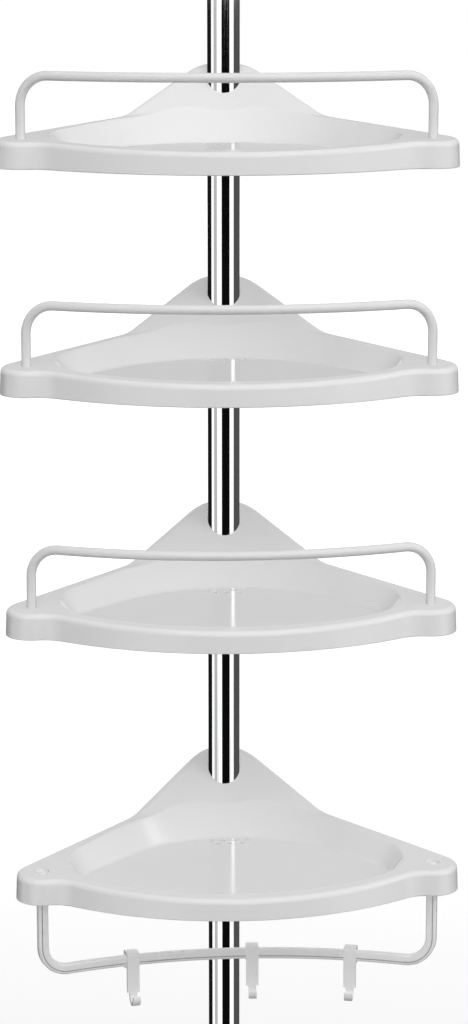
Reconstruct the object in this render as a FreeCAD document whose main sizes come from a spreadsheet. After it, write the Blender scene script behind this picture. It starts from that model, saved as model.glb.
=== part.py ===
import FreeCAD
import Part
import Sketcher
import math
import os
import re

# Corner shower caddy: four moulded trays clamped on a sprung, telescopic tension pole.
# Millimetres. The origin is on the pole's axis at the underside of the floor pad, +Z is up,
# the wall corner lies towards +Y and the open front towards -Y.

# Driving dimensions: alias, value, meaning.
SIZES = [
    ("pole_dia", 25, "outer chrome tubes, outside diameter"),
    ("tube_wall", 1, "wall of every tube"),
    ("slide_fit", 0.05, "radial clearance of a sliding fit"),
    ("seat_gap", 0.1, "radial clearance of pieces that sit in one another"),
    ("bottom_rim", 600, "height of the bottom tray's rim above the floor"),
    ("pitch_low", 203, "rim to rim, bottom tray to third tray"),
    ("pitch_mid", 180, "rim to rim, third tray to second tray"),
    ("pitch_high", 164, "rim to rim, second tray to top tray"),
    ("turn_1", -1.2, "swivel of the top tray about the pole, degrees"),
    ("turn_2", -0.5, "swivel of the second tray, degrees"),
    ("turn_3", 0, "swivel of the third tray, degrees"),
    ("turn_4", 1.8, "swivel of the bottom tray, degrees"),
    ("lobe_span", 147.5, "pole axis to a rail lobe's centre, sideways"),
    ("lobe_depth", 152, "pole axis to a rail lobe's centre, forwards"),
    ("lobe_radius", 19.5, "plan radius of a rail lobe"),
    ("corner_radius", 28, "plan radius of a tray's back corner, about the pole"),
    ("front_bulge", 3.5, "front edge beyond the lobe centres, seen from the pole"),
    ("notch_radius", 25, "hollow where the front edge runs into a lobe"),
    ("sleeve_wall", 1.95, "tray sleeve round the clip, at its base"),
    ("tray_wall", 2.4, "moulded wall of a tray"),
    ("tray_draft", 2.5, "draft of a tray's outer walls, degrees"),
    ("skirt_drop", 5.1, "skirt below the underside of the dish"),
    ("rim_tilt", 4, "rise of the rim towards the back, about the lobes' centres, degrees"),
    ("rim_round", 4, "rounding of a tray's outer top edge"),
    ("foot_round", 0.8, "rounding of a tray's lower edge"),
    ("dish_depth", 13, "rim to dish floor"),
    ("dish_slope", 36, "dish wall, degrees from the vertical"),
    ("dish_lip", 2, "rounding of the dish's upper edge"),
    ("dish_cove", 4, "rounding at the foot of the dish wall"),
    ("front_rim", 12, "flat rim along the front edge"),
    ("back_rim", 14, "flat rim along the back edges"),
    ("dish_tip", 44, "plan radius of the dish's side corners"),
    ("dish_corner", 114, "plan radius of the dish's back corner"),
    ("hump_height", 35, "top of the hump above the rim, at the pole's front"),
    ("hump_tilt", 12, "rise of the hump's top towards the back, degrees"),
    ("hump_foot", 83, "half width of the hump where it leaves the rim"),
    ("hump_top", 40, "half width of the hump where it levels out"),
    ("hump_toe", 29, "pole axis to the hump's front toe"),
    ("hump_valley", 90, "blend between the hump's two slopes"),
    ("hump_blend", 12, "blend from the rim into the hump"),
    ("hump_crown", 22, "rounding of the hump's top"),
    ("pole_gap", 0.4, "gap round the pole in the hump's hole"),
    ("rib_width", 1.8, "stiffening ribs under the dish"),
    ("rib_drop", 3, "stiffening ribs below the dish's underside"),
    ("drain_dia", 4.5, "drain holes"),
    ("drains_back", 4, "drain holes in the back row"),
    ("drains_front", 3, "drain holes in the front row"),
    ("drain_pitch", 9.5, "drain holes, side by side"),
    ("drain_row", 7.5, "between the two rows of drain holes"),
    ("drain_inset", 6, "back row of drain holes in front of the floor's back edge"),
    ("clip_base", 2.9, "wedge clip's wall at its base"),
    ("clip_tip", 1.9, "wedge clip's wall at its top"),
    ("clip_rise", 7, "wedge clip's top above the rim"),
    ("clip_flange", 3, "thickness of the clip's foot flange"),
    ("clip_slot", 1.75, "gap between the two clip halves"),
    ("clip_relief", 0.5, "free space above the clip"),
    ("rail_dia", 7, "coated guard rail"),
    ("rail_height", 45, "guard rail's centre line above the rim"),
    ("rail_bend", 21.5, "guard rail's bend radius"),
    ("rail_sweep", 22, "guard rail's plan arc, half angle in degrees"),
    ("socket_floor", 2, "bottom of a rail socket"),
    ("socket_wall", 2.6, "wall of a rail socket"),
    ("bar_height", 8, "towel bar's section, across the loop"),
    ("bar_depth", 6, "towel bar's section, front to back"),
    ("bar_round", 1.6, "towel bar's rounded corners"),
    ("bar_groove", 0.8, "width of the towel bar's decorative groove"),
    ("bar_groove_depth", 0.6, "depth of that groove"),
    ("bar_groove_edge", 0.6, "groove from the rounding of the loop's outer edge"),
    ("bar_drop", 80, "towel bar's centre line below the rim"),
    ("bar_bend", 20, "towel bar's bend radius"),
    ("bar_sweep", 20, "towel bar's plan arc, half angle in degrees"),
    ("spigot_dia", 6, "towel bar's end spigots"),
    ("spigot_low", 0.5, "spigot's tip below the rim"),
    ("cap_dia", 11, "shallow recess round a spigot's tip"),
    ("cap_depth", 1.3, "depth of that recess"),
    ("hook_width", 9.5, "hook's strap"),
    ("hook_strap", 2.6, "thickness of the hook's strap"),
    ("hook_gap", 0.3, "play between hook and bar"),
    ("hook_tail", 20, "strap below the bar"),
    ("hook_lip", 2, "snap lip under the bar"),
    ("hook_neck", 5.8, "width of the hook's curl"),
    ("hook_neck_length", 2.2, "straight neck between strap and curl"),
    ("hook_curl", 4, "inner radius of the hook's curl"),
    ("hook_tip", 0.6, "upturned end of the curl"),
    ("hook_round", 2, "outer rounding of the strap over the bar"),
    ("hook_1_x", -80, "left hook, sideways along the bar"),
    ("hook_2_x", 13, "middle hook"),
    ("hook_3_x", 88, "right hook"),
    ("pad_radius", 30, "rubber pads at floor and ceiling"),
    ("pad_height", 9, "thickness of a rubber pad"),
    ("pad_recess", 2, "cup sunk into its pad"),
    ("pad_edge", 2.5, "slope of a pad's rim"),
    ("cup_radius", 24, "end cups, at the pad"),
    ("cup_wall", 3, "end cup's wall at its mouth"),
    ("cup_floor", 5, "end cup's floor"),
    ("cup_depth", 30, "socket of the floor cup"),
    ("cup_rim", 6, "cylindrical foot of an end cup"),
    ("seam_low", 3, "tube joint below the bottom tray's rim"),
    ("coupler_half", 40, "tube coupler, half its length"),
    ("coupler_wall", 1.5, "tube coupler's wall"),
    ("head_room", 260, "upper tube above the top tray's rim"),
    ("lock_grip", 25, "lock body's overlap on the upper tube"),
    ("lock_wall", 2.6, "lock body's wall"),
    ("lock_neck", 24, "lock fingers above the upper tube"),
    ("lock_finger", 1.8, "lock fingers' thickness at their tips"),
    ("lock_slits", 4, "number of slits"),
    ("lock_slit", 1.6, "slits between the lock fingers"),
    ("nut_wall", 3.6, "lock nut's wall"),
    ("nut_skirt", 14, "lock nut below the upper tube's end"),
    ("nut_crown", 4, "lock nut above the lock fingers"),
    ("nut_flutes", 10, "number of grip flutes"),
    ("nut_flute", 3, "radius of the lock nut's grip flutes"),
    ("nut_flute_depth", 1.4, "depth of the grip flutes"),
    ("nut_play", 0.3, "gap between lock nut and lock body"),
    ("tube_gap", 0.5, "radial gap between the telescoping tubes"),
    ("stow_gap", 8, "extension tube above the coupler when pushed in"),
    ("bush_length", 18, "guide bush at the extension tube's foot"),
    ("bush_flange", 3, "flange of the guide bush"),
    ("extension_show", 60, "extension tube showing above the upper tube"),
    ("lip_height", 3, "rolled lip at the extension tube's top"),
    ("lip_reach", 0.6, "rolled lip, inwards"),
    ("plunger_head", 34, "sliding head of the plunger"),
    ("plunger_show", 34, "plunger rod showing below the ceiling cup"),
    ("ceiling_socket", 22, "socket of the ceiling cup"),
    ("spring_length", 84, "tension spring as fitted"),
    ("spring_wire", 2, "tension spring's wire"),
    ("spring_dia", 17, "tension spring, outside"),
    ("spring_turns", 12, "tension spring's turns"),
    ("seat_height", 8, "spring seat"),
]

# Sizes that follow from the driving ones.
DERIVED = [
    ("pole_radius", "pole_dia / 2"),
    ("bore_radius", "pole_radius - tube_wall"),
    ("clip_bore", "pole_radius + slide_fit"),
    ("clip_wrap", "180 - clip_slot / clip_bore * 180 / pi"),
    ("socket_base", "clip_bore + clip_base + seat_gap"),
    ("socket_tip", "clip_bore + clip_tip + seat_gap"),
    ("boss_radius", "socket_base + sleeve_wall"),
    ("lobe_y", "-lobe_depth"),
    ("lobe_reach", "sqrt(lobe_span * lobe_span + lobe_depth * lobe_depth)"),
    ("back_turn",
     "(acos((corner_radius - lobe_radius) / lobe_reach) - atan2(lobe_depth; lobe_span)) / 1 deg"),
    ("front_radius", "lobe_reach + front_bulge"),
    ("skirt", "dish_depth + tray_wall + skirt_drop"),
    ("socket_crown", "socket_tip - (clip_base - clip_tip) * clip_relief / (skirt + clip_rise)"),
    ("dish_run", "dish_depth * tan(dish_slope * 1 deg)"),
    ("skin_run", "tray_wall * (1 / cos(dish_slope * 1 deg) - tan(dish_slope * 1 deg))"),
    ("dish_front", "front_radius - front_rim - dish_run"),
    ("dish_back", "(corner_radius - back_rim - dish_corner) / sin(back_turn * 1 deg)"),
    ("dish_back_y", "dish_back + dish_corner - dish_run"),
    ("dish_rise", "dish_depth + hump_height"),
    ("rim_4", "bottom_rim"),
    ("rim_3", "rim_4 + pitch_low"),
    ("rim_2", "rim_3 + pitch_mid"),
    ("rim_1", "rim_2 + pitch_high"),
    ("rib_foot", "dish_depth + tray_wall + rib_drop"),
    ("socket_foot", "rib_foot + seat_gap"),
    ("socket_depth", "socket_foot - socket_floor"),
    ("socket_bore", "rail_dia / 2 + seat_gap"),
    ("spigot_bore", "spigot_dia / 2 + seat_gap"),
    ("cup_seat", "pad_height - pad_recess"),
    ("tube_foot", "cup_seat + cup_floor"),
    ("cup_mouth", "tube_foot + cup_depth"),
    ("seam", "rim_4 - seam_low"),
    ("coupler_radius", "bore_radius - seat_gap"),
    ("tube_end", "rim_1 + head_room"),
    ("inner_radius", "bore_radius - tube_gap"),
    ("inner_bore", "inner_radius - tube_wall"),
    ("lock_foot", "tube_end - lock_grip"),
    ("lock_top", "tube_end + lock_neck"),
    ("lock_radius", "pole_radius + seat_gap + lock_wall"),
    ("lock_bore", "inner_radius + slide_fit"),
    ("nut_foot", "tube_end - nut_skirt"),
    ("nut_top", "lock_top + nut_crown"),
    ("nut_radius", "lock_radius + nut_play + nut_wall"),
    ("inner_foot", "seam + coupler_half + stow_gap"),
    ("inner_top", "tube_end + extension_show"),
    ("lip_foot", "inner_top - lip_height"),
    ("head_foot", "lip_foot - plunger_head"),
    ("rod_radius", "inner_bore - lip_reach - slide_fit"),
    ("spring_foot", "head_foot - spring_length"),
    ("spring_radius", "(spring_dia - spring_wire) / 2"),
    ("ceiling_mouth", "inner_top + plunger_show"),
    ("ceiling_floor", "ceiling_mouth + ceiling_socket"),
    ("ceiling_seat", "ceiling_floor + cup_floor"),
    ("ceiling", "ceiling_seat - pad_recess + pad_height"),
    ("loop_y", "bar_depth / 2 + hook_gap"),
    ("loop_z", "bar_height / 2 + hook_gap"),
    ("strap_y", "loop_y + hook_strap"),
    ("strap_z", "loop_z + hook_strap"),
    ("tail_z", "loop_z + hook_tail"),
    ("curl_y", "loop_y + hook_strap + hook_curl"),
    ("curl_z", "tail_z + hook_neck_length"),
    ("tip_y", "curl_y + hook_curl"),
]

TIERS = ("1", "2", "3", "4")
RAIL_TIERS = ("1", "2", "3")
HOOKS = ("1", "2", "3")
DRAIN_ROWS = ("drains_back", "drains_front")
RIB_TURNS = (0, 1, -1)
SPRING_STEPS = 36
CENTRE = FreeCAD.Vector(0, 0, 0)
UP = FreeCAD.Vector(0, 0, 1)
TOUCH = 1e-4

DOC = FreeCAD.newDocument("tension_pole_caddy")


def fill_sheet(name, rows, formula):
    """A sheet with one alias per row; a formula row is worked out from the rows before it."""
    sheet = DOC.addObject("Spreadsheet::Sheet", name)
    for number, row in enumerate(rows, 1):
        alias, content = row[0], row[1]
        sheet.set(f"A{number}", alias)
        sheet.set(f"B{number}", "=" + cells(content, inside=name) if formula else str(content))
        sheet.setAlias(f"B{number}", alias)
        if len(row) > 2:
            sheet.set(f"C{number}", row[2])
    return sheet


def cells(text, inside=None):
    """Point each alias in a formula at the sheet that holds it."""
    def point(match):
        word = match.group()
        if word in SIZE_NAMES:
            return "Sizes." + word
        if word in DERIVED_NAMES and inside != "Derived":
            return "Derived." + word
        return word
    return re.sub(r"[a-z]\w*", point, text)


def value(text):
    """The number that a formula of aliases gives."""
    return float(SHEET.evalExpression(cells(str(text))))


def bind(thing, prop, text):
    """Tie a property to the sheets."""
    thing.setExpression(prop, cells(str(text)))


SIZE_NAMES = {row[0] for row in SIZES}
DERIVED_NAMES = {row[0] for row in DERIVED}
SHEET = fill_sheet("Sizes", SIZES, formula=False)
fill_sheet("Derived", DERIVED, formula=True)
DOC.recompute()


def origin_plane(body, role):
    return next(item for item in body.Origin.OriginFeatures if item.Role == role)


def new_sketch(body, name, role, offset=None):
    """An empty sketch on one of its body's origin planes, raised by an optional offset."""
    sketch = body.newObject("Sketcher::SketchObject", name)
    sketch.AttachmentSupport = [(origin_plane(body, role), "")]
    sketch.MapMode = "FlatFace"
    if offset is not None:
        bind(sketch, "AttachmentOffset.Base.z", offset)
    return sketch


def dimension(sketch, kind, *where, size):
    """A sketch dimension tied to the sheets."""
    index = sketch.addConstraint(Sketcher.Constraint(kind, *where, value(size)))
    bind(sketch, f"Constraints[{index}]", size)


def arc(centre, radius, start, end):
    return Part.ArcOfCircle(Part.Circle(centre, UP, radius), start, end)


def profile_sketch(body, name, role, corners, arcs=None, offset=None):
    """A closed outline through corners given as formulas; arcs maps an edge to its centre and its turn."""
    arcs = arcs or {}
    sketch = new_sketch(body, name, role, offset) if body else DOC.addObject("Sketcher::SketchObject", name)
    points = [FreeCAD.Vector(value(u), value(v), 0) for u, v in corners]
    count = len(points)
    ends = {}
    for edge in range(count):
        start, end = points[edge], points[(edge + 1) % count]
        if edge in arcs:
            centre_u, centre_v, turn = arcs[edge]
            centre = FreeCAD.Vector(value(centre_u), value(centre_v), 0)
            angles = [math.atan2(p.y - centre.y, p.x - centre.x) for p in (start, end)][::turn]
            if angles[1] <= angles[0]:
                angles[1] += 2 * math.pi
            sketch.addGeometry(arc(centre, centre.distanceToPoint(start), *angles), False)
            ends[edge] = (1, 2)[::turn]
        else:
            sketch.addGeometry(Part.LineSegment(start, end), False)
            ends[edge] = (1, 2)
    for edge in range(count):
        after = (edge + 1) % count
        sketch.addConstraint(Sketcher.Constraint("Coincident", edge, ends[edge][1], after, ends[after][0]))
    for edge, (u, v) in enumerate(corners):
        dimension(sketch, "DistanceX", -1, 1, edge, ends[edge][0], size=u)
        dimension(sketch, "DistanceY", -1, 1, edge, ends[edge][0], size=v)
    for edge in arcs:
        dimension(sketch, "DistanceY", -1, 1, edge, 3, size=arcs[edge][1])
    return sketch


def new_body(label):
    return DOC.addObject("PartDesign::Body", label)


def padded(body, name, sketch, length, taper=None, midplane=False):
    pad = body.newObject("PartDesign::Pad", name)
    pad.Profile = sketch
    pad.Midplane = midplane
    bind(pad, "Length", length)
    if taper is not None:
        bind(pad, "TaperAngle", taper)
    return pad


def revolved(label, corners, angle="360"):
    """A body turned about the pole's axis from corners given as radius and height."""
    body = new_body(label)
    sketch = profile_sketch(body, label + "_profile", "XZ_Plane", corners)
    turn = body.newObject("PartDesign::Revolution", label + "_turned")
    turn.Profile = sketch
    turn.ReferenceAxis = (sketch, ["V_Axis"])
    turn.Midplane = True
    bind(turn, "Angle", angle)
    return body


def polar_pocket(body, name, sketch, count, depth=None):
    """A pocket, right through the body or down to a depth, repeated round the pole's axis."""
    pocket = body.newObject("PartDesign::Pocket", name)
    pocket.Profile = sketch
    if depth is None:
        pocket.Type = "ThroughAll"
        pocket.Midplane = True
    else:
        bind(pocket, "Length", depth)
    repeat = body.newObject("PartDesign::PolarPattern", name + "_pattern")
    repeat.Originals = [pocket]
    repeat.Axis = (origin_plane(body, "Z_Axis"), [""])
    repeat.Angle = 360
    bind(repeat, "Occurrences", count)
    body.Tip = repeat


def boolean(kind, name, base, tool):
    result = DOC.addObject("Part::" + kind, name)
    result.Base = base
    result.Tool = tool
    return result


def fused(name, shapes):
    result = DOC.addObject("Part::MultiFuse", name)
    result.Shapes = shapes
    return result


def rounded(name, base, radius, chosen):
    """Round the edges of an object that a test picks out."""
    DOC.recompute()
    result = DOC.addObject("Part::Fillet", name)
    result.Base = base
    picks = [number for number, edge in enumerate(base.Shape.Edges, 1) if chosen(edge)]
    result.Edges = [(number, value(radius), value(radius)) for number in picks]
    return result


def cylinder(name, radius, foot, height, x="0", y="0"):
    rod = DOC.addObject("Part::Cylinder", name)
    bind(rod, "Radius", radius)
    bind(rod, "Height", height)
    bind(rod, "Placement.Base.x", x)
    bind(rod, "Placement.Base.y", y)
    bind(rod, "Placement.Base.z", foot)
    return rod


def near(point):
    """A test for edges that pass through a point."""
    return lambda edge: edge.distToShape(Part.Vertex(point))[0] < TOUCH


def upper_edges(base, foot, level):
    """A test for the upper edges of the walls that rise from a foot height."""
    DOC.recompute()
    walls = [face for face in base.Shape.Faces if abs(face.BoundBox.ZMin - foot) < TOUCH]
    tops = [edge for wall in walls for edge in wall.Edges if edge.BoundBox.ZMin > level - TOUCH]
    return lambda edge: any(edge.isSame(top) for top in tops)


def level_edges(height, reach):
    """A test for edges that lie level at a height, within reach of the pole's axis."""
    spot = Part.Vertex(0, 0, height)

    def test(edge):
        box = edge.BoundBox
        flat = abs(box.ZMin - height) < TOUCH and abs(box.ZMax - height) < TOUCH
        return flat and edge.distToShape(spot)[0] < reach
    return test


def edges_on(point, normal, reach):
    """A test for edges that lie on a plane, within reach of a point on it."""
    spot = Part.Vertex(point)

    def test(edge):
        away = [abs((place - point).dot(normal)) for place in edge.discretize(3)]
        return max(away) < TOUCH and edge.distToShape(spot)[0] < reach
    return test


def back_normals():
    """The way that the right back edge faces, as an angle, and both back edges' outward normals."""
    turn = math.radians(value("back_turn"))
    right = FreeCAD.Vector(math.cos(turn), math.sin(turn), 0)
    return turn, right, FreeCAD.Vector(-right.x, right.y, 0)


def outline_sketch(body, inset):
    """A tray's plan outline: front arc, notches, rail lobes, straight back edges and corner boss."""
    sketch = new_sketch(body, "outline", "XY_Plane", "-skirt")
    front, notch = value("front_radius"), value("notch_radius")
    lobe, corner, step = value("lobe_radius"), value("corner_radius"), value(inset)
    span, depth, reach = value("lobe_span"), value("lobe_y"), value("lobe_reach")
    turn, right, left = back_normals()
    along = ((front + notch) ** 2 - (lobe + notch) ** 2 + reach ** 2) / (2 * reach)
    aside = math.sqrt((front + notch) ** 2 - along ** 2)
    notch_x = (along * span + aside * depth) / reach
    notch_y = (along * depth - aside * span) / reach
    to_notch = math.atan2(notch_y, notch_x)
    to_lobe = math.atan2(depth - notch_y, span - notch_x)
    right_lobe, left_lobe = FreeCAD.Vector(span, depth, 0), FreeCAD.Vector(-span, depth, 0)
    right_notch, left_notch = FreeCAD.Vector(notch_x, notch_y, 0), FreeCAD.Vector(-notch_x, notch_y, 0)
    sketch.addGeometry([
        arc(CENTRE, front - step, -math.pi - to_notch, to_notch),
        arc(right_notch, notch + step, to_lobe, to_notch + math.pi),
        arc(right_lobe, lobe - step, to_lobe - math.pi, turn),
        Part.LineSegment(right_lobe + right * (lobe - step), right * (corner - step)),
        arc(CENTRE, corner - step, turn, math.pi - turn),
        Part.LineSegment(left * (corner - step), left_lobe + left * (lobe - step)),
        arc(left_lobe, lobe - step, math.pi - turn, 2 * math.pi - to_lobe),
        arc(left_notch, notch + step, -to_notch, math.pi - to_lobe),
    ], False)
    joins = [(0, 2, 1, 2), (1, 1, 2, 1), (2, 2, 3, 1), (3, 2, 4, 1),
             (4, 2, 5, 1), (5, 2, 6, 1), (6, 2, 7, 2), (7, 1, 0, 1)]
    for join in joins:
        sketch.addConstraint(Sketcher.Constraint("Tangent", *join))
    for centred in (0, 4):
        sketch.addConstraint(Sketcher.Constraint("Coincident", centred, 3, -1, 1))
    for edge, size in ((2, "lobe_span"), (6, "-lobe_span")):
        dimension(sketch, "DistanceX", -1, 1, edge, 3, size=size)
        dimension(sketch, "DistanceY", -1, 1, edge, 3, size="lobe_y")
    for edge, size in ((0, "front_radius - "), (2, "lobe_radius - "), (4, "corner_radius - "),
                       (6, "lobe_radius - "), (1, "notch_radius + "), (7, "notch_radius + ")):
        dimension(sketch, "Radius", edge, size=size + inset)
    return sketch


def dish_sketch(body, grow, foot):
    """The dish's plan outline, at its floor when grow is nothing: front arc, side corners, back corner."""
    sketch = new_sketch(body, "dish_outline", "XY_Plane", foot)
    less = value("dish_run") - value(grow)
    front = value("dish_front") + value(grow)
    tip, corner = value("dish_tip") - less, value("dish_corner") - less
    edge = value("corner_radius - back_rim") - less
    along = math.sqrt((front - tip) ** 2 - (edge - tip) ** 2)
    turn, right, left = back_normals()
    right_tip = right * (edge - tip) + FreeCAD.Vector(right.y, -right.x, 0) * along
    left_tip = FreeCAD.Vector(-right_tip.x, right_tip.y, 0)
    to_tip = math.atan2(right_tip.y, right_tip.x)
    back = FreeCAD.Vector(0, value("dish_back"), 0)
    sketch.addGeometry([
        arc(CENTRE, front, -math.pi - to_tip, to_tip),
        arc(right_tip, tip, to_tip, turn),
        Part.LineSegment(right_tip + right * tip, back + right * corner),
        arc(back, corner, turn, math.pi - turn),
        Part.LineSegment(back + left * corner, left_tip + left * tip),
        arc(left_tip, tip, math.pi - turn, math.pi - to_tip),
    ], False)
    for start, end in zip(range(6), (1, 2, 3, 4, 5, 0)):
        sketch.addConstraint(Sketcher.Constraint("Tangent", start, 2, end, 1))
    sketch.addConstraint(Sketcher.Constraint("Coincident", 0, 3, -1, 1))
    sketch.addConstraint(Sketcher.Constraint("PointOnObject", 3, 3, -2))
    dimension(sketch, "DistanceY", -1, 1, 3, 3, size="dish_back")
    dimension(sketch, "Radius", 0, size="dish_front + " + grow)
    for edge, size in ((1, "dish_tip"), (3, "dish_corner"), (5, "dish_tip")):
        dimension(sketch, "Radius", edge, size=f"{size} - dish_run + {grow}")
    for edge, side in ((2, 1), (4, -1)):
        index = sketch.addConstraint(Sketcher.Constraint("Angle", edge, side * (math.pi / 2 + turn)))
        bind(sketch, f"Constraints[{index}]", f"{side} * (90 + back_turn) * 1 deg")
    return sketch


def half_space(name, point, normal):
    """A block that fills the space above a plane, far beyond the tray."""
    reach = value("front_radius")
    block = DOC.addObject("Part::Box", name)
    for side, times in (("Length", 4), ("Width", 4), ("Height", 1)):
        bind(block, side, f"front_radius * {times}")
    turn = FreeCAD.Rotation(UP, normal)
    corner = turn.multVec(FreeCAD.Vector(-2 * reach, -2 * reach, 0))
    block.Placement = FreeCAD.Placement(point + corner, turn)
    return block


def tilted(angle):
    """The normal of a plane that rises towards the back."""
    return FreeCAD.Rotation(FreeCAD.Vector(1, 0, 0), value(angle)).multVec(UP)


def top_cut(name, drop):
    """All that lies above a tray's top: its rim, the hump's two slopes and the hump's crown."""
    foot, top, corner = value("hump_foot"), value("hump_top"), value("corner_radius")
    right, rise = back_normals()[1], math.tan(math.radians(value("rim_tilt")))

    def on_rim(x, y):
        return FreeCAD.Vector(x, y, (y - value("lobe_y")) * rise - value(drop))
    toe = on_rim(0, -value("hump_toe"))
    slopes = []
    for side in (-1, 1):
        low = on_rim(side * foot, (corner - right.x * foot) / right.y)
        high = FreeCAD.Vector(side * top, (corner - right.x * top) / right.y,
                              value("hump_height") - value(drop))
        slopes.append(half_space(f"{name}_slope_{side + 1}", toe, (high - low).cross(toe - low) * side))
    valley = boolean("Common", name + "_valley", *slopes)
    valley = rounded(name + "_valley_blend", valley, "hump_valley", near(toe))
    start = FreeCAD.Vector(0, -value("pole_radius"), value("hump_height") - value(drop))
    crown = half_space(name + "_crown", start, tilted("hump_tilt"))
    hump = boolean("Fuse", name + "_hump", valley, crown)
    hump = rounded(name + "_crown_blend", hump, "hump_crown", edges_on(start, tilted("hump_tilt"), foot))
    rim = half_space(name + "_rim", toe, tilted("rim_tilt"))
    above = boolean("Common", name + "_above", hump, rim)
    return rounded(name + "_shape", above, "hump_blend", edges_on(toe, tilted("rim_tilt"), foot))


def tray_block(name, inset, drop):
    """The tray's outer form, or its hollow where it is set in by a wall."""
    body = new_body(name + "_prism")
    padded(body, name + "_walls", outline_sketch(body, inset), "skirt + 2 * hump_height", "-tray_draft")
    return boolean("Cut", name, body, top_cut(name + "_top", drop))


def tray_shell():
    """The moulded shell that all tiers share: rim, dish, hollow underside, sleeve, sockets and ribs."""
    skirt, depth, reach = value("skirt"), value("dish_depth"), value("front_radius")
    outer = tray_block("tray_outer", "0", "0")
    outer = rounded("tray_rim", outer, "rim_round", upper_edges(outer, -skirt, -skirt / 2))
    outer = rounded("tray_foot", outer, "foot_round", level_edges(-skirt, reach))
    dish = new_body("dish_space")
    padded(dish, "dish_walls", dish_sketch(dish, "0", "-dish_depth"), "dish_rise", "dish_slope")
    outer = boolean("Cut", "tray_dished", outer, dish)
    outer = rounded("tray_lip", outer, "dish_lip", upper_edges(outer, -depth, -depth / 2))
    outer = rounded("tray_cove", outer, "dish_cove", level_edges(-depth, reach))
    inner = tray_block("tray_inner", "tray_wall", "tray_wall")
    hollow = boolean("Cut", "tray_hollow", inner, kept_under_tray())
    return boolean("Cut", "tray_shell", outer, hollow)


def kept_under_tray():
    """What stays solid in the hollow underside: the dish's skin, the pole sleeve, rail sockets and ribs."""
    skin = new_body("dish_skin")
    outline = dish_sketch(skin, "skin_run", "-dish_depth - tray_wall")
    padded(skin, "skin_walls", outline, "dish_rise", "dish_slope")
    kept = [skin, cylinder("pole_sleeve", "boss_radius", "-skirt", "skirt + 2 * hump_height")]
    for side, name in ((-1, "left"), (1, "right")):
        kept.append(cylinder(f"{name}_socket", "socket_bore + socket_wall", "-socket_foot", "socket_foot",
                             f"{side} * lobe_span", "lobe_y"))
    lobe_turn = math.degrees(math.atan2(value("lobe_span"), -value("lobe_y")))
    for number, side in enumerate(RIB_TURNS):
        rib = DOC.addObject("Part::Box", f"rib_{number}")
        bind(rib, "Length", "rib_width")
        bind(rib, "Width", "front_radius")
        bind(rib, "Height", "rib_drop + dish_depth")
        turn = FreeCAD.Rotation(UP, 180 + side * lobe_turn)
        start = turn.multVec(FreeCAD.Vector(-value("rib_width") / 2, 0, 0))
        rib.Placement = FreeCAD.Placement(start, turn)
        bind(rib, "Placement.Base.z", "-rib_foot")
        kept.append(rib)
    return fused("tray_kept", kept)


def tray_bores(shell):
    """Cut the pole's hole, the clip's tapered socket and the drain holes."""
    taper = DOC.addObject("Part::Cone", "clip_socket")
    bind(taper, "Radius1", "socket_base")
    bind(taper, "Radius2", "socket_crown")
    bind(taper, "Height", "skirt + clip_rise + clip_relief")
    bind(taper, "Placement.Base.z", "-skirt")
    cuts = [taper, cylinder("pole_hole", "pole_radius + pole_gap", "-skirt", "skirt + 2 * hump_height")]
    for row, count in enumerate(DRAIN_ROWS):
        for place in range(round(value(count))):
            cuts.append(cylinder(f"drain_{row}_{place}", "drain_dia / 2", "-skirt", "skirt",
                                 f"({place} - ({count} - 1) / 2) * drain_pitch",
                                 f"dish_back_y - drain_inset - {row} * drain_row"))
    return boolean("Cut", "tray_bored", shell, fused("tray_cuts", cuts))


def lobe_cuts(name, bores):
    """The same round cuts in both lobes, each given as radius and foot height."""
    cuts = []
    for side in (-1, 1):
        for number, (radius, foot) in enumerate(bores):
            cuts.append(cylinder(f"{name}_{side + 1}_{number}", radius, foot, "skirt + hump_height",
                                 f"{side} * lobe_span", "lobe_y"))
    return fused(name, cuts)


def on_tier(thing, tier, turn=0):
    """Seat a piece, modelled about the centre of its tray's rim plane, at its tier's height and swivel."""
    thing.Placement = FreeCAD.Placement(CENTRE, FreeCAD.Rotation(UP, value(f"turn_{tier}") + turn))
    bind(thing, "Placement.Base.z", f"rim_{tier}")
    return thing


def trays():
    bored = tray_bores(tray_shell())
    rail_holes = lobe_cuts("rail_holes", [("socket_bore", "-socket_depth")])
    bar_holes = lobe_cuts("bar_holes", [("spigot_bore", "-skirt"), ("cap_dia / 2", "-cap_depth")])
    for tier in TIERS:
        holes = rail_holes if tier in RAIL_TIERS else bar_holes
        yield on_tier(boolean("Cut", f"tray_{tier}", bored, holes), tier)


def clips():
    """Two wedge halves per tier: tapered outside, round inside, on a flange that the sleeve stands on."""
    profile = [("clip_bore", "-skirt - clip_flange"), ("boss_radius - seat_gap", "-skirt - clip_flange"),
               ("boss_radius - seat_gap", "-skirt"), ("clip_bore + clip_base", "-skirt"),
               ("clip_bore + clip_tip", "clip_rise"), ("clip_bore", "clip_rise")]
    for tier in TIERS:
        for name, turn in (("front", -90), ("rear", 90)):
            yield on_tier(revolved(f"clip_{tier}_{name}", profile, "clip_wrap"), tier, turn)


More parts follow.
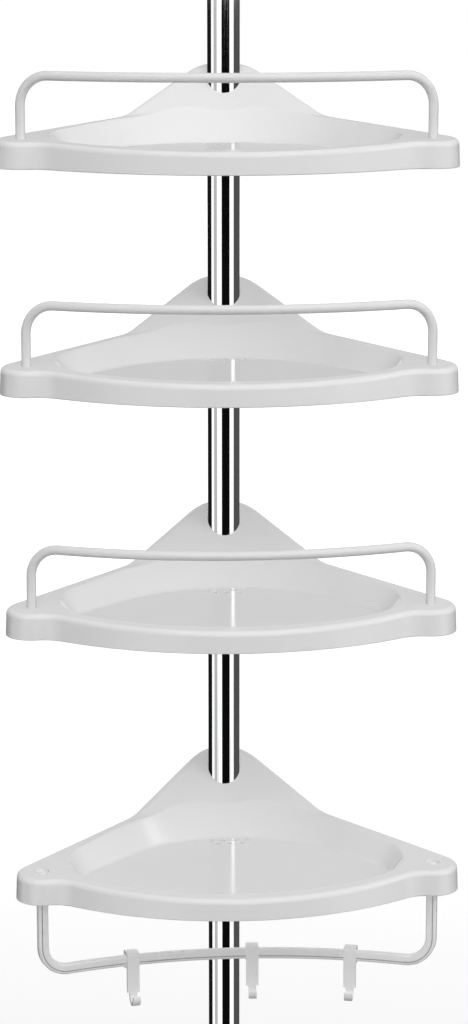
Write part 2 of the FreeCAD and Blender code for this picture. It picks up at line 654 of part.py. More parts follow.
def loop_path(name, foot, run, bend, sweep, towards):
    """A rail's centre line: leg, bend, level arc that bulges forwards or back, bend, leg."""
    span, depth = value("lobe_span"), value("lobe_y")
    foot, run, bend, sweep = value(foot), value(run), value(bend), math.radians(value(sweep))
    lift = UP * math.copysign(bend, run - foot)
    ahead = FreeCAD.Vector(math.cos(sweep), towards * math.sin(sweep), 0) * bend
    leg_foot = FreeCAD.Vector(-span, depth, foot)
    leg_end = FreeCAD.Vector(-span, depth, run) - lift
    bend_middle = leg_end + ahead + (lift - ahead) * math.sqrt(0.5)
    bend_end = leg_end + ahead + lift
    radius = -bend_end.x / math.sin(sweep)
    crest = FreeCAD.Vector(0, bend_end.y + towards * radius * (1 - math.cos(sweep)), run)

    def mirrored(point):
        return FreeCAD.Vector(-point.x, point.y, point.z)
    curves = [
        Part.LineSegment(leg_foot, leg_end),
        Part.Arc(leg_end, bend_middle, bend_end),
        Part.Arc(bend_end, crest, mirrored(bend_end)),
        Part.Arc(mirrored(bend_end), mirrored(bend_middle), mirrored(leg_end)),
        Part.LineSegment(mirrored(leg_end), mirrored(leg_foot)),
    ]
    path = DOC.addObject("Part::Feature", name)
    path.Shape = Part.Wire([curve.toShape() for curve in curves])
    return path, crest, radius


def swept(name, path, section):
    sweep = DOC.addObject("Part::Sweep", name)
    sweep.Sections = [section]
    sweep.Spine = (path, [f"Edge{number}" for number in range(1, len(path.Shape.Edges) + 1)])
    sweep.Solid = True
    return sweep


def rails():
    """Round guard rails, plugged into the lobe sockets of the upper trays."""
    for tier in RAIL_TIERS:
        path, _, _ = loop_path(f"rail_path_{tier}", "-socket_depth", "rail_height", "rail_bend",
                               "rail_sweep", -1)
        section = DOC.addObject("Part::Circle", f"rail_section_{tier}")
        bind(section, "Radius", "rail_dia / 2")
        bind(section, "Placement.Base.x", "-lobe_span")
        bind(section, "Placement.Base.y", "lobe_y")
        bind(section, "Placement.Base.z", "-socket_depth")
        yield on_tier(swept(f"rail_{tier}", path, section), tier)


def bar_section():
    """The towel bar's rounded section, with a groove along its front and back near the outer edge."""
    near_groove = "-bar_height/2 + bar_round + bar_groove_edge"
    past_groove = near_groove + " + bar_groove"
    near_side = [("-bar_height/2 + bar_round", "-bar_depth/2"),
                 (near_groove, "-bar_depth/2"),
                 (near_groove, "-bar_depth/2 + bar_groove_depth"),
                 (past_groove, "-bar_depth/2 + bar_groove_depth"),
                 (past_groove, "-bar_depth/2"),
                 ("bar_height/2 - bar_round", "-bar_depth/2"),
                 ("bar_height/2", "-bar_depth/2 + bar_round")]
    far_side = [(u, f"-({v})") for u, v in reversed(near_side)]
    ends = [("-bar_height/2", "bar_depth/2 - bar_round"), ("-bar_height/2", "-bar_depth/2 + bar_round")]
    outer, inner = "-bar_height/2 + bar_round", "bar_height/2 - bar_round"
    low, high = "-bar_depth/2 + bar_round", "bar_depth/2 - bar_round"
    arcs = {5: (inner, low, 1), 7: (inner, high, 1), 13: (outer, high, 1), 15: (outer, low, 1)}
    section = profile_sketch(None, "bar_section", None, near_side + far_side + ends, arcs)
    section.Placement.Rotation = FreeCAD.Rotation(UP, value("bar_sweep"))
    bind(section, "Placement.Base.x", "-lobe_span")
    bind(section, "Placement.Base.y", "lobe_y")
    bind(section, "Placement.Base.z", "-socket_foot")
    return section


def towel_bar():
    """The bar hangs under the bottom tray; its spigots pass up through the lobes and show at the rim."""
    path, crest, radius = loop_path("bar_path", "-socket_foot", "-bar_drop", "bar_bend", "bar_sweep", 1)
    pieces = [swept("bar_loop", path, bar_section())]
    for side, name in ((-1, "left"), (1, "right")):
        spigot = cylinder(f"{name}_spigot", "spigot_dia / 2", "-socket_foot", "socket_foot - spigot_low",
                          f"{side} * lobe_span", "lobe_y")
        DOC.recompute()
        pieces.append(rounded(f"{name}_spigot_tip", spigot, "cap_depth - spigot_low",
                              level_edges(-value("spigot_low"), value("lobe_reach"))))
    return on_tier(fused("towel_bar", pieces), TIERS[-1]), crest, radius


def hooks(crest, radius):
    """Clip-on hooks: a strap that wraps the bar, a tail and a narrower curl that turns up in front."""
    strap = [("-strap_y", "-tail_z"), ("-loop_y", "-tail_z"), ("-loop_y", "loop_z"), ("loop_y", "loop_z"),
             ("loop_y", "-loop_z"), ("loop_y - hook_lip", "-loop_z"), ("loop_y - hook_lip", "-strap_z"),
             ("strap_y", "-strap_z"), ("strap_y", "strap_z - hook_round"),
             ("strap_y - hook_round", "strap_z"), ("hook_round - strap_y", "strap_z"),
             ("-strap_y", "strap_z - hook_round")]
    strap_arcs = {8: ("strap_y - hook_round", "strap_z - hook_round", 1),
                  10: ("hook_round - strap_y", "strap_z - hook_round", 1)}
    curl = [("-loop_y", "-tail_z"), ("-strap_y", "-tail_z"), ("-strap_y", "-curl_z"), ("-tip_y", "-curl_z"),
            ("-tip_y", "-curl_z + hook_tip"), ("-tip_y - hook_strap", "-curl_z + hook_tip"),
            ("-tip_y - hook_strap", "-curl_z"), ("-loop_y", "-curl_z")]
    curl_arcs = {2: ("-curl_y", "-curl_z", -1),
                 4: ("-tip_y - hook_strap / 2", "-curl_z + hook_tip", 1),
                 6: ("-curl_y", "-curl_z", 1)}
    pivot = FreeCAD.Vector(0, crest.y - radius, crest.z)
    for number in HOOKS:
        body = new_body(f"hook_{number}")
        outline = profile_sketch(body, f"strap_outline_{number}", "YZ_Plane", strap, strap_arcs)
        padded(body, f"strap_{number}", outline, "hook_width", midplane=True)
        outline = profile_sketch(body, f"curl_outline_{number}", "YZ_Plane", curl, curl_arcs)
        padded(body, f"curl_{number}", outline, "hook_neck", midplane=True)
        angle = math.asin(value(f"hook_{number}_x") / radius)
        spot = pivot + FreeCAD.Vector(math.sin(angle), math.cos(angle), 0) * radius
        on_bar = FreeCAD.Placement(spot, FreeCAD.Rotation(UP, -math.degrees(angle)))
        tier = on_tier_placement(TIERS[-1])
        body.Placement = tier * on_bar
        yield body


def on_tier_placement(tier):
    return FreeCAD.Placement(UP * value(f"rim_{tier}"), FreeCAD.Rotation(UP, value(f"turn_{tier}")))


def tube(label, bore, radius, foot, top):
    return revolved(label, [(bore, foot), (radius, foot), (radius, top), (bore, top)])


def floor_end():
    """Rubber floor pad and the cup that the lower tube stands in."""
    bore = "pole_radius + seat_gap"
    yield revolved("foot_pad", [("0", "0"), ("pad_radius", "0"), ("pad_radius - pad_edge", "pad_height"),
                                ("cup_radius + seat_gap", "pad_height"),
                                ("cup_radius + seat_gap", "cup_seat"), ("0", "cup_seat")])
    yield revolved("foot_cup", [("0", "cup_seat"), ("cup_radius", "cup_seat"),
                                ("cup_radius", "cup_seat + cup_rim"), (bore + " + cup_wall", "cup_mouth"),
                                (bore, "cup_mouth"), (bore, "tube_foot"), ("0", "tube_foot")])


def pole_tubes():
    """The two outer tubes, butted inside the bottom tray's sleeve over an inner coupler."""
    yield tube("lower_tube", "bore_radius", "pole_radius", "tube_foot", "seam")
    yield tube("upper_tube", "bore_radius", "pole_radius", "seam", "tube_end")
    yield tube("tube_coupler", "coupler_radius - coupler_wall", "coupler_radius",
               "seam - coupler_half", "seam + coupler_half")


def lock():
    """Twist lock: a slit collet on the upper tube's end and the fluted nut that closes it."""
    seat, shoulder = "pole_radius + seat_gap", "tube_end + lock_wall"
    body = revolved("lock_body", [(seat, "lock_foot"), ("lock_radius", "lock_foot"),
                                  ("lock_radius", shoulder), ("lock_bore + lock_wall", shoulder),
                                  ("lock_bore + lock_finger", "lock_top"), ("lock_bore", "lock_top"),
                                  ("lock_bore", "tube_end"), (seat, "tube_end")])
    slit = profile_sketch(body, "slit_outline", "XY_Plane",
                          [("0", "-lock_slit / 2"), ("lock_radius", "-lock_slit / 2"),
                           ("lock_radius", "lock_slit / 2"), ("0", "lock_slit / 2")], offset="lock_top")
    polar_pocket(body, "slits", slit, "lock_slits", "lock_neck - 2 * lock_wall")
    yield body
    ceiling, neck = "lock_top + nut_play", "inner_radius + nut_play"
    nut = revolved("lock_nut", [("lock_radius + nut_play", "nut_foot"), ("nut_radius", "nut_foot"),
                                ("nut_radius", "lock_top"), ("nut_radius - nut_crown / 2", "nut_top"),
                                (neck, "nut_top"), (neck, ceiling),
                                ("lock_bore + lock_finger + nut_play", ceiling),
                                ("lock_bore + lock_wall + nut_play", shoulder + " + nut_play"),
                                ("lock_radius + nut_play", shoulder + " + nut_play")])
    flute = new_sketch(nut, "flute_outline", "XY_Plane", "nut_foot")
    flute.addGeometry(Part.Circle(FreeCAD.Vector(value("nut_radius"), 0, 0), UP, value("nut_flute")), False)
    flute.addConstraint(Sketcher.Constraint("PointOnObject", 0, 3, -1))
    dimension(flute, "DistanceX", -1, 1, 0, 3, size="nut_radius + nut_flute - nut_flute_depth")
    dimension(flute, "Radius", 0, size="nut_flute")
    polar_pocket(nut, "flutes", flute, "nut_flutes")
    yield nut


def extension():
    """Telescopic tube with its guide bush, and the seat that the tension spring stands on."""
    lip = "inner_bore - lip_reach"
    yield revolved("extension_tube", [("inner_bore", "inner_foot"), ("inner_radius", "inner_foot"),
                                      ("inner_radius", "inner_top"), (lip, "inner_top"), (lip, "lip_foot"),
                                      ("inner_bore", "lip_foot")])
    plug = "inner_bore - seat_gap"
    yield revolved("extension_bush", [(plug + " - tube_wall * 2", "inner_foot - bush_flange"),
                                      ("bore_radius - slide_fit", "inner_foot - bush_flange"),
                                      ("bore_radius - slide_fit", "inner_foot"), (plug, "inner_foot"),
                                      (plug, "inner_foot + bush_length"),
                                      (plug + " - tube_wall * 2", "inner_foot + bush_length")])
    yield revolved("spring_seat", [("0", "spring_foot - seat_height"), (plug, "spring_foot - seat_height"),
                                   (plug, "spring_foot"), ("0", "spring_foot")])


def ceiling_end():
    """Sprung plunger, held in by the tube's rolled lip, with the ceiling cup and pad on its rod."""
    head, bore = "inner_bore - slide_fit", "spring_radius - spring_wire"
    yield revolved("plunger", [(bore, "head_foot"), (head, "head_foot"), (head, "lip_foot"),
                               ("rod_radius", "lip_foot"), ("rod_radius", "ceiling_floor"),
                               ("0", "ceiling_floor"), ("0", "ceiling_mouth"), (bore, "ceiling_mouth")])
    seat = "rod_radius + seat_gap"
    yield revolved("ceiling_cup", [("0", "ceiling_floor"), (seat, "ceiling_floor"), (seat, "ceiling_mouth"),
                                   (seat + " + cup_wall", "ceiling_mouth"),
                                   ("cup_radius", "ceiling_seat - cup_rim"),
                                   ("cup_radius", "ceiling_seat"), ("0", "ceiling_seat")])
    edge = "ceiling_seat - pad_recess"
    yield revolved("ceiling_pad", [("0", "ceiling_seat"), ("cup_radius + seat_gap", "ceiling_seat"),
                                   ("cup_radius + seat_gap", edge), ("pad_radius - pad_edge", edge),
                                   ("pad_radius", "ceiling"), ("0", "ceiling")])


def arc_from(start, direction, end):
    """The arc that leaves a point in a direction and ends at another."""
    chord = end - start
    across = chord - direction * chord.dot(direction)
    side = FreeCAD.Vector(across).normalize()
    radius = chord.dot(chord) / (2 * chord.dot(side))
    half = math.atan2(chord.dot(side), chord.dot(direction))
    centre = start + side * radius
    middle = centre - side * radius * math.cos(half) + direction * radius * math.sin(half)
    return Part.Arc(start, middle, end)


def biarc(start, leaving, end, arriving):
    """Two arcs that meet tangentially between two points with given directions."""
    span, both = end - start, leaving + arriving
    bend = 2 * (1 - leaving.dot(arriving))
    reach = (math.sqrt(span.dot(both) ** 2 + bend * span.dot(span)) - span.dot(both)) / bend
    first, second = start + leaving * reach, end - arriving * reach
    joint = (first + second) * 0.5
    heading = FreeCAD.Vector(second - first).normalize()
    return [arc_from(start, leaving, joint), arc_from(joint, heading, end)]


def tension_spring():
    """A coil of round wire between the seat and the plunger, one unbroken pipe on half-turn biarcs."""
    wire, radius, turns = value("spring_wire"), value("spring_radius"), round(value("spring_turns"))
    foot = value("spring_foot + spring_wire / 2 + seat_gap")
    rise = value("spring_length - spring_wire - 2 * seat_gap") / turns
    lead = rise / (2 * math.pi * radius)

    def point(angle):
        height = foot + rise * angle / (2 * math.pi)
        return FreeCAD.Vector(radius * math.cos(angle), radius * math.sin(angle), height)

    def heading(angle):
        return FreeCAD.Vector(-math.sin(angle), math.cos(angle), lead).normalize()
    stops = [math.pi * half for half in range(2 * turns + 1)]
    curves = []
    for start, end in zip(stops, stops[1:]):
        curves += biarc(point(start), heading(start), point(end), heading(end))
    coil = Part.Wire([curve.toShape() for curve in curves])
    section = Part.Wire([Part.Circle(point(0), heading(0), wire / 2).toShape()])
    spring = DOC.addObject("Part::Feature", "tension_spring")
    spring.Shape = coil.makePipeShell([section], True, False)
    samples = [point(2 * math.pi * step / SPRING_STEPS) for step in range(turns * SPRING_STEPS + 1)]
    spacing = min(start.distanceToPoint(end) for number, start in enumerate(samples)
                  for end in samples[number + SPRING_STEPS // 2:])
    print("tension_spring: least gap to itself", round(spacing - wire, 3))
    return spring


def build():
    """Every sub-part, in the order in which the caddy is put together."""
    nodes = [*floor_end(), *pole_tubes(), *lock(), *extension(), tension_spring(), *ceiling_end()]
    nodes += [*trays(), *clips(), *rails()]
    bar, crest, radius = towel_bar()
    return nodes + [bar, *hooks(crest, radius)]


def export(nodes):
    """Check the whole document, then write one file per sub-part."""
    DOC.recompute()
    for item in DOC.Objects:
        if {"Invalid", "Error"} & set(item.State):
            raise RuntimeError(f"{item.Label} failed: {item.State}")
    for node in nodes:
        if node.Shape.isNull() or not node.Shape.isValid():
            raise RuntimeError(f"{node.Label} has no valid shape")
    os.makedirs("parts", exist_ok=True)
    for node in nodes:
        node.Shape.exportStep(f"parts/{node.Label}.step")
        print(node.Label, len(node.Shape.Solids), round(node.Shape.Volume))


export(build())
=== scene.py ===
import math

import bpy
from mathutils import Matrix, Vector


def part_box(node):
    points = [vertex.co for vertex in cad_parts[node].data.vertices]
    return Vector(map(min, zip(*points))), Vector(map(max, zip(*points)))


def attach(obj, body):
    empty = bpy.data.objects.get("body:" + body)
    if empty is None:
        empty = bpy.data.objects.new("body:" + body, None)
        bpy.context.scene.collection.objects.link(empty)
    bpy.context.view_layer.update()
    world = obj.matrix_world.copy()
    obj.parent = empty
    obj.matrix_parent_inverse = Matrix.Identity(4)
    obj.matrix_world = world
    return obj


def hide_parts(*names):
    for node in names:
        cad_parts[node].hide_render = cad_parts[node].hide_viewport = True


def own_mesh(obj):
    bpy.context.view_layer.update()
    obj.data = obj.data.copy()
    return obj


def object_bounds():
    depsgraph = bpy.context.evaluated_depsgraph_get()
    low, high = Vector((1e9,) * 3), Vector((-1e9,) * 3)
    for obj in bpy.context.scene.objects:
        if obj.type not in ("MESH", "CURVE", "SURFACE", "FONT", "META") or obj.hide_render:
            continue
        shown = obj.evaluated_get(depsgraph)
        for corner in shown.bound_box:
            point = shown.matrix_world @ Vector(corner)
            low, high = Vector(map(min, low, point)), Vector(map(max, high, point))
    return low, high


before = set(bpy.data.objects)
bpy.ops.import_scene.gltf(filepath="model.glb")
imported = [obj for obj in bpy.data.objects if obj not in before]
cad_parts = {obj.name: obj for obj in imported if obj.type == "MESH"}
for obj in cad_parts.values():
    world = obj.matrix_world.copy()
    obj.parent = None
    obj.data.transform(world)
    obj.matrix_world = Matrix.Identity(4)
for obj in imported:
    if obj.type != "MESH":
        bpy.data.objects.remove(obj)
cad_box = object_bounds()

# The photograph's camera: lens and sensor in millimetres, angles in degrees, the rest in metres.
LENS = 105.1
SENSOR = 36.0
CAMERA_DISTANCE = 2.35
CAMERA_AZIMUTH = -2.36
CAMERA_ELEVATION = 12.31
CAMERA_TARGET = (0.0080, 0.0, 0.8404)
CAMERA_RANGE = 200.0

# Directions round the pole, in degrees from the camera's and positive to the right, with the
# brightness that the polished tube mirrors there.
MIRRORED = (
    (-180, -165, 0.90),
    (-165, -97, 0.010),
    (-97, -74, 1.25),
    (-74, -49, 0.55),
    (-49, -14, 1.25),
    (-14, 43, 0.004),
    (43, 76, 1.25),
    (76, 165, 0.088),
    (165, 180, 0.90),
)

PLASTIC_IOR = 1.49
RIPPLE_DEPTH = 0.0004
SKIN_DEPTH = 0.00012
DRAWN_DEPTH = 0.00004
GRIT_DEPTH = 0.0003
DIMPLE_DEPTH = 0.0004


def grey(tone):
    return (tone, tone, tone)


def material(name):
    """A new material with its node tree and its shader."""
    made = bpy.data.materials.new(name)
    made.use_nodes = True
    tree = made.node_tree
    return made, tree, tree.nodes["Principled BSDF"]


def node(tree, kind, **inputs):
    """A new node with the given inputs set."""
    made = tree.nodes.new(kind)
    for key, entry in inputs.items():
        made.inputs[key].default_value = entry
    return made


def grain(tree, scale, detail, stretch=(1, 1, 1)):
    """Noise in the part's own metres, stretched along an axis where its scale is below one."""
    place = node(tree, "ShaderNodeTexCoord")
    mapping = node(tree, "ShaderNodeMapping", Scale=stretch)
    noise = node(tree, "ShaderNodeTexNoise", Scale=scale, Detail=detail)
    tree.links.new(place.outputs["Object"], mapping.inputs["Vector"])
    tree.links.new(mapping.outputs["Vector"], noise.inputs["Vector"])
    return noise.outputs["Fac"]


def ramp(tree, source, low, high, start=0.35, stop=0.65):
    """Maps a source onto greys or colours from low to high."""
    made = tree.nodes.new("ShaderNodeValToRGB")
    for element, place, tone in zip(made.color_ramp.elements, (start, stop), (low, high)):
        element.position = place
        element.color = (tone if isinstance(tone, tuple) else grey(tone)) + (1,)
    tree.links.new(source, made.inputs["Fac"])
    return made.outputs["Color"]


def bumps(tree, shader, layers):
    """Stacks bump layers of (height source, depth in metres, strength) on a shader."""
    last = None
    for source, depth, strength in layers:
        bump = node(tree, "ShaderNodeBump", Distance=depth, Strength=strength)
        tree.links.new(source, bump.inputs["Height"])
        if last:
            tree.links.new(last.outputs["Normal"], bump.inputs["Normal"])
        last = bump
    tree.links.new(last.outputs["Normal"], shader.inputs["Normal"])


def moulded(name, tone, spread, rough, peel, sparkle, painted_shade_reach=None):
    """Injection-moulded plastic: faint flow shading, uneven gloss, a soft ripple and a fine skin.
    Where given, a reach in metres greys the hollows of about that size: painted shade from ambient
    occlusion."""
    made, tree, shader = material(name)
    shader.inputs["IOR"].default_value = PLASTIC_IOR
    flow = grain(tree, 5.0, 1.0, (1, 1, 0.6))
    gloss = grain(tree, 60.0, 4.0)
    ripple = grain(tree, 170.0, 1.0)
    skin = grain(tree, 1600.0, 2.0)
    low = tuple(c - spread for c in tone)
    colour = ramp(tree, flow, low, tone, 0.2, 0.8)
    if painted_shade_reach:
        # Painted shade: ambient occlusion darkens the colour in hollows, such as the bar's groove.
        painted_shade = node(tree, "ShaderNodeAmbientOcclusion", Distance=painted_shade_reach)
        painted_shade.only_local = True
        tree.links.new(colour, painted_shade.inputs["Color"])
        colour = painted_shade.outputs["Color"]
    tree.links.new(colour, shader.inputs["Base Color"])
    tree.links.new(ramp(tree, gloss, *rough, 0.2, 0.8), shader.inputs["Roughness"])
    bumps(tree, shader, ((ripple, RIPPLE_DEPTH, peel), (skin, SKIN_DEPTH, sparkle)))
    return made


def polished(name, tone, rough, streak):
    """Plated or bare metal with fine drawing marks along the pole."""
    made, tree, shader = material(name)
    shader.inputs["Metallic"].default_value = 1.0
    drawn = grain(tree, 1400.0, 2.0, (1, 1, 0.012))
    cloud = grain(tree, 24.0, 3.0, (1, 1, 0.4))
    low = tuple(c * 0.95 for c in tone)
    tree.links.new(ramp(tree, cloud, low, tone), shader.inputs["Base Color"])
    tree.links.new(ramp(tree, drawn, *rough), shader.inputs["Roughness"])
    bumps(tree, shader, ((drawn, DRAWN_DEPTH, streak),))
    return made


def rubber(name, tone):
    """Dull rubber: a cloudy colour, uneven sheen, fine grit and soft dimples."""
    made, tree, shader = material(name)
    shader.inputs["Specular IOR Level"].default_value = 0.35
    cloud = grain(tree, 45.0, 4.0)
    sheen = grain(tree, 220.0, 3.0)
    grit = grain(tree, 1900.0, 3.0)
    dimples = grain(tree, 260.0, 2.0)
    low = tuple(c * 0.75 for c in tone)
    tree.links.new(ramp(tree, cloud, low, tone), shader.inputs["Base Color"])
    tree.links.new(ramp(tree, sheen, 0.62, 0.82), shader.inputs["Roughness"])
    bumps(tree, shader, ((grit, GRIT_DEPTH, 0.35), (dimples, DIMPLE_DEPTH, 0.12)))
    return made


def dress(node_name, made):
    """Gives a CAD node one material in place of its own."""
    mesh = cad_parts[node_name].data
    mesh.materials.clear()
    mesh.materials.append(made)
    return mesh


def mesh_object(name, points, faces, made):
    """A new object of one material, linked to the scene."""
    mesh = bpy.data.meshes.new(name)
    mesh.from_pydata(points, [], faces)
    mesh.materials.append(made)
    obj = bpy.data.objects.new(name, mesh)
    bpy.context.scene.collection.objects.link(obj)
    return obj


# Plastics: colour, how far its shading spreads, range of roughness, ripple and skin.
WHITE = grey(0.80)
tray_skin = moulded("tray_plastic", WHITE, 0.006, (0.20, 0.28), 0.05, 0.06)
dish_skin = moulded("dish_plastic", WHITE, 0.006, (0.09, 0.14), 0.03, 0.02)
under_skin = moulded("tray_underside", grey(0.79), 0.02, (0.42, 0.55), 0.06, 0.30)
rail_skin = moulded("rail_plastic", grey(0.77), 0.012, (0.18, 0.27), 0.06, 0.05)
# The towel bar's groove gets painted shade from ambient occlusion.
bar_skin = moulded("bar_plastic", grey(0.86), 0.014, (0.22, 0.33), 0.06, 0.06, painted_shade_reach=0.0015)
hook_skin = moulded("hook_plastic", grey(0.88), 0.014, (0.25, 0.36), 0.05, 0.08)
clip_skin = moulded("clip_plastic", (0.62, 0.63, 0.64), 0.03, (0.34, 0.48), 0.08, 0.15)
fitting_skin = moulded("fitting_plastic", grey(0.74), 0.02, (0.28, 0.42), 0.06, 0.22)

# Metals: colour, range of roughness and drawing marks.
chrome = polished("chrome_tube", (0.86, 0.865, 0.87), (0.02, 0.06), 0.02)
coupler = polished("coupler_steel", (0.52, 0.52, 0.53), (0.22, 0.34), 0.10)
spring_wire = polished("spring_steel", (0.36, 0.37, 0.39), (0.24, 0.38), 0.08)
pad = rubber("pad_rubber", (0.085, 0.087, 0.09))

for name in ("lower_tube", "upper_tube", "extension_tube"):
    dress(name, chrome)
for name in ("foot_cup", "lock_body", "lock_nut", "plunger", "ceiling_cup", "extension_bush",
             "spring_seat"):
    dress(name, fitting_skin)
for name in ("foot_pad", "ceiling_pad"):
    dress(name, pad)
dress("tube_coupler", coupler)
dress("tension_spring", spring_wire)
dress("towel_bar", bar_skin)

# Rails, clips and trays aren't mirrored, as the photograph's tube shows none of them.
for number in (1, 2, 3):
    dress(f"rail_{number}", rail_skin)
    dress(f"hook_{number}", hook_skin)
    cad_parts[f"rail_{number}"].visible_glossy = False

# The dish's floor, wall and lip come from a polished half of the mould, the underside from a matt
# one. The rim stands a skirt's height above the tray's foot at the lobes' centres, and rises from
# there to the back. Dish faces lie below a narrow band at the rim, and face upwards.
SKIRT = 0.0205
LOBE_Y = -0.152
RIM_RISE = math.tan(math.radians(4.0))
RIM_BAND = 0.0035
LIP_BAND = 0.0002
DISH_CENTRE = Vector((0, -0.12))
FACES_UP = 0.4
FACES_DOWN = -0.35
for number in (1, 2, 3, 4):
    for side in ("front", "rear"):
        dress(f"clip_{number}_{side}", clip_skin)
        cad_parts[f"clip_{number}_{side}"].visible_glossy = False
    tray = dress(f"tray_{number}", tray_skin)
    tray.materials.append(dish_skin)
    tray.materials.append(under_skin)
    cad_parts[f"tray_{number}"].visible_glossy = False
    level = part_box(f"tray_{number}")[0].z + SKIRT
    for face in tray.polygons:
        rim = level + (face.center.y - LOBE_Y) * RIM_RISE
        if face.normal.z < FACES_DOWN:
            face.material_index = 2
        elif face.normal.z > FACES_UP:
            inwards = face.normal.xy.dot(DISH_CENTRE - face.center.xy) > 0
            if face.center.z < rim - (LIP_BAND if inwards else RIM_BAND):
                face.material_index = 1

# The coil of the ceiling end's spring, which shortens as the ceiling head is pushed down; this
# coil is wound at one length.
SPRING_RADIUS = 0.0075
SPRING_WIRE = 0.002
SPRING_TURNS = 12
COIL_STEPS = 40 * SPRING_TURNS
COIL_SIDES = 12


def coil(name, low, high):
    """Round wire wound between two levels, with flat cut ends."""
    rise = high - low - SPRING_WIRE
    lead = rise / (math.tau * SPRING_TURNS * SPRING_RADIUS)
    points, faces = [], []
    for i in range(COIL_STEPS + 1):
        turn = math.tau * SPRING_TURNS * i / COIL_STEPS
        out = Vector((math.cos(turn), math.sin(turn), 0))
        along = Vector((-math.sin(turn), math.cos(turn), lead)).normalized()
        height = low + SPRING_WIRE / 2 + rise * i / COIL_STEPS
        centre = out * SPRING_RADIUS + Vector((0, 0, height))
        for k in range(COIL_SIDES):
            angle = math.tau * k / COIL_SIDES
            spoke = out * math.cos(angle) + out.cross(along) * math.sin(angle)
            points.append(centre + spoke * SPRING_WIRE / 2)
    for i in range(COIL_STEPS):
        for k in range(COIL_SIDES):
            first = i * COIL_SIDES + k
            second = i * COIL_SIDES + (k + 1) % COIL_SIDES
            faces.append((first, first + COIL_SIDES, second + COIL_SIDES, second))
    faces.append(tuple(range(COIL_SIDES)))
    faces.append(tuple(reversed(range(COIL_STEPS * COIL_SIDES, (COIL_STEPS + 1) * COIL_SIDES))))
    made = mesh_object(name, points, faces, spring_wire)
    made.data.polygons.foreach_set("use_smooth", [len(face) == 4 for face in faces])
    return made


low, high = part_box("tension_spring")
spring = coil("spring_coil", low.z, high.z)
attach(spring, "extension")
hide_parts("tension_spring")
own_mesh(spring)

# Camera at the photograph's angle.
azimuth = math.radians(CAMERA_AZIMUTH)
elevation = math.radians(CAMERA_ELEVATION)
back = Vector((math.sin(azimuth) * math.cos(elevation),
               -math.cos(azimuth) * math.cos(elevation),
               math.sin(elevation)))
camera = bpy.data.objects.new("camera", bpy.data.cameras.new("camera"))
camera.data.lens = LENS
camera.data.sensor_width = SENSOR
camera.data.clip_end = CAMERA_RANGE
camera.location = Vector(CAMERA_TARGET) + back * CAMERA_DISTANCE
camera.rotation_mode = "QUATERNION"
camera.rotation_quaternion = (-back).to_track_quat("-Z", "Y")
bpy.context.scene.collection.objects.link(camera)
bpy.context.scene.camera = camera


def combined(tree, operation, first, second):
    """The sum, product, maximum or the like of two values."""
    made = tree.nodes.new("ShaderNodeMath")
    made.operation = operation
    tree.links.new(first, made.inputs[0])
    tree.links.new(second, made.inputs[1])
    return made.outputs["Value"]


def eased(tree, source, reach, values):
    """Eases from one value to another as a source runs through its reach."""
    made = tree.nodes.new("ShaderNodeMapRange")
    made.interpolation_type = "SMOOTHSTEP"
    for key, entry in zip(("From Min", "From Max", "To Min", "To Max"), reach + values):
        made.inputs[key].default_value = entry
    tree.links.new(source, made.inputs["Value"])
    return made.outputs["Result"]


def seen(tree):
    """One for rays from the camera and for mirrored and refracted ones, else zero."""
    path = tree.nodes.new("ShaderNodeLightPath")
    most = path.outputs["Is Camera Ray"]
    for name in ("Is Glossy Ray", "Is Transmission Ray"):
        most = combined(tree, "MAXIMUM", most, path.outputs[name])
    return most


def glowing(name, tone):
    """A skin without gloss that can glow white."""
    made, tree, shader = material(name)
    shader.inputs["Base Color"].default_value = grey(tone) + (1,)
    shader.inputs["Specular IOR Level"].default_value = 0.0
    shader.inputs["Emission Color"].default_value = (1, 1, 1, 1)
    return made, tree, shader


def stage_mesh(name, points, faces, made):
    """A piece of the studio, made as a plain mesh object of one material and linked to the scene.
    """
    obj = mesh_object(name, points, faces, made)
    return obj


# Pale floor, in metres: white to the eye, the more so away from the pole, and it keeps the part's
# shadow.
FLOOR_RADIUS = 90.0
FLOOR_SIDES = 96
FLOOR_GAP = 0.0005
FLOOR_TONE = 0.38
FLOOR_REACH = (0.5, 3.0)
FLOOR_GLOW = (0.60, 0.88)
floor_skin, tree, shader = glowing("floor", FLOOR_TONE)
shader.inputs["Roughness"].default_value = 0.9
place = node(tree, "ShaderNodeTexCoord")
distance = tree.nodes.new("ShaderNodeVectorMath")
distance.operation = "LENGTH"
tree.links.new(place.outputs["Object"], distance.inputs[0])
lift = eased(tree, distance.outputs["Value"], FLOOR_REACH, FLOOR_GLOW)
shown = combined(tree, "MULTIPLY", lift, seen(tree))
tree.links.new(shown, shader.inputs["Emission Strength"])
floor_level = cad_box[0].z - FLOOR_GAP
points, faces = [(0, 0, floor_level)], []
for i in range(FLOOR_SIDES):
    turn = math.tau * i / FLOOR_SIDES
    points.append((FLOOR_RADIUS * math.cos(turn), FLOOR_RADIUS * math.sin(turn), floor_level))
    faces.append((0, i + 1, (i + 1) % FLOOR_SIDES + 1))
stage_mesh("floor", points, faces, floor_skin)

# What the polished tube mirrors just above the studio floor: light panels and dark flags, seen by
# mirrored rays alone.
FLAG_INNER = 0.05
FLAG_OUTER = 30.0
FLAG_STEPS = 24
FLAG_RISE = 0.002


def sector(start, stop, level):
    """A level ring sector between two directions from the camera's."""
    points, faces = [], []
    for i in range(FLAG_STEPS + 1):
        turn = math.radians(CAMERA_AZIMUTH + start + (stop - start) * i / FLAG_STEPS)
        for radius in (FLAG_INNER, FLAG_OUTER):
            points.append((radius * math.sin(turn), -radius * math.cos(turn), level))
    for i in range(FLAG_STEPS):
        faces.append((2 * i, 2 * i + 1, 2 * i + 3, 2 * i + 2))
    return points, faces


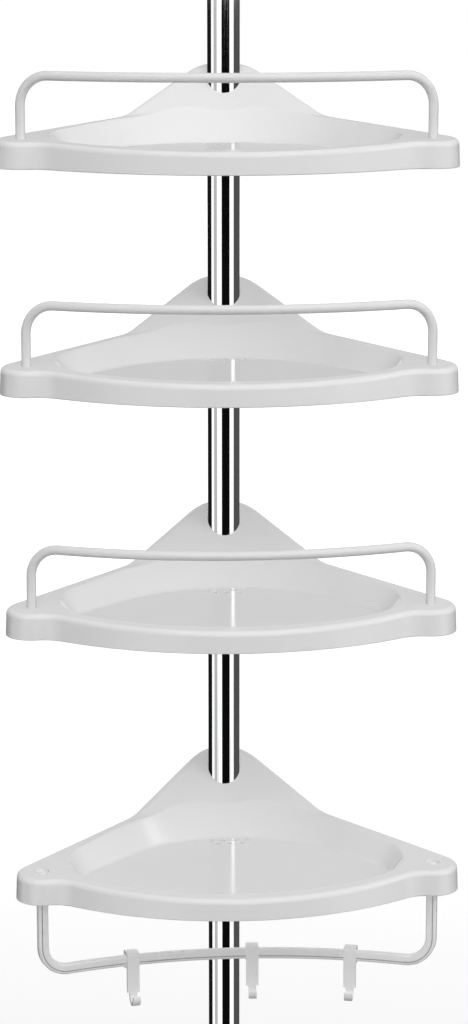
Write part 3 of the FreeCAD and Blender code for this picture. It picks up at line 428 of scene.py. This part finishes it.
for number, (start, stop, glow) in enumerate(MIRRORED):
    flag, tree, shader = glowing(f"flag_{number}", 0.0)
    shader.inputs["Emission Strength"].default_value = glow
    points, faces = sector(start, stop, floor_level + FLAG_RISE)
    card = stage_mesh(f"flag_{number}", points, faces, flag)
    card.visible_camera = False
    card.visible_diffuse = False
    card.visible_shadow = False
    card.visible_transmission = False
    card.visible_volume_scatter = False

# An even dome lights the part. The camera sees it white, and mirrored rays see it fade from the
# horizon up.
DOME_LIGHT = 0.36
SKY_REACH = (0.0, 0.14)
SKY_TONES = (1.0, 0.44)
world = bpy.data.worlds.new("studio")
bpy.context.scene.world = world
world.use_nodes = True
tree = world.node_tree
tree.nodes.clear()
dome = node(tree, "ShaderNodeBackground", Color=(1, 1, 1, 1), Strength=DOME_LIGHT)
white = node(tree, "ShaderNodeBackground", Color=(1, 1, 1, 1))
mix = tree.nodes.new("ShaderNodeMixShader")
out = tree.nodes.new("ShaderNodeOutputWorld")
place = node(tree, "ShaderNodeTexCoord")
height = tree.nodes.new("ShaderNodeSeparateXYZ")
path = tree.nodes.new("ShaderNodeLightPath")
tree.links.new(place.outputs["Generated"], height.inputs["Vector"])
fade = eased(tree, height.outputs["Z"], SKY_REACH, SKY_TONES)
backdrop = combined(tree, "MAXIMUM", path.outputs["Is Camera Ray"], fade)
tree.links.new(backdrop, white.inputs["Strength"])
tree.links.new(seen(tree), mix.inputs["Fac"])
tree.links.new(dome.outputs["Background"], mix.inputs[1])
tree.links.new(white.outputs["Background"], mix.inputs[2])
tree.links.new(mix.outputs["Shader"], out.inputs["Surface"])


def panel(name, place, target, size, power, fill=False):
    """A rectangular light in watts. A fill casts no shadow and isn't mirrored."""
    lamp = bpy.data.lights.new(name, "AREA")
    lamp.shape = "RECTANGLE"
    lamp.size, lamp.size_y = size
    lamp.energy = power
    lamp.use_shadow = not fill
    obj = bpy.data.objects.new(name, lamp)
    obj.location = place
    obj.rotation_mode = "QUATERNION"
    obj.rotation_quaternion = (Vector(target) - Vector(place)).to_track_quat("-Z", "Y")
    obj.visible_glossy = not fill
    bpy.context.scene.collection.objects.link(obj)


# Broad fills above the camera and behind the part, and a key from the right.
panel("front", (0.4, -6.7, 7.6), (0, 0, 0.8), (8.0, 6.0), 606, fill=True)
panel("rear", (-2.5, 8.5, 2.2), (0, 0, 0.8), (6.0, 4.0), 220, fill=True)
panel("key", (3.9, -1.5, 2.8), (0, -0.05, 0.85), (2.0, 2.6), 36)

bpy.context.scene.view_settings.view_transform = "Standard"
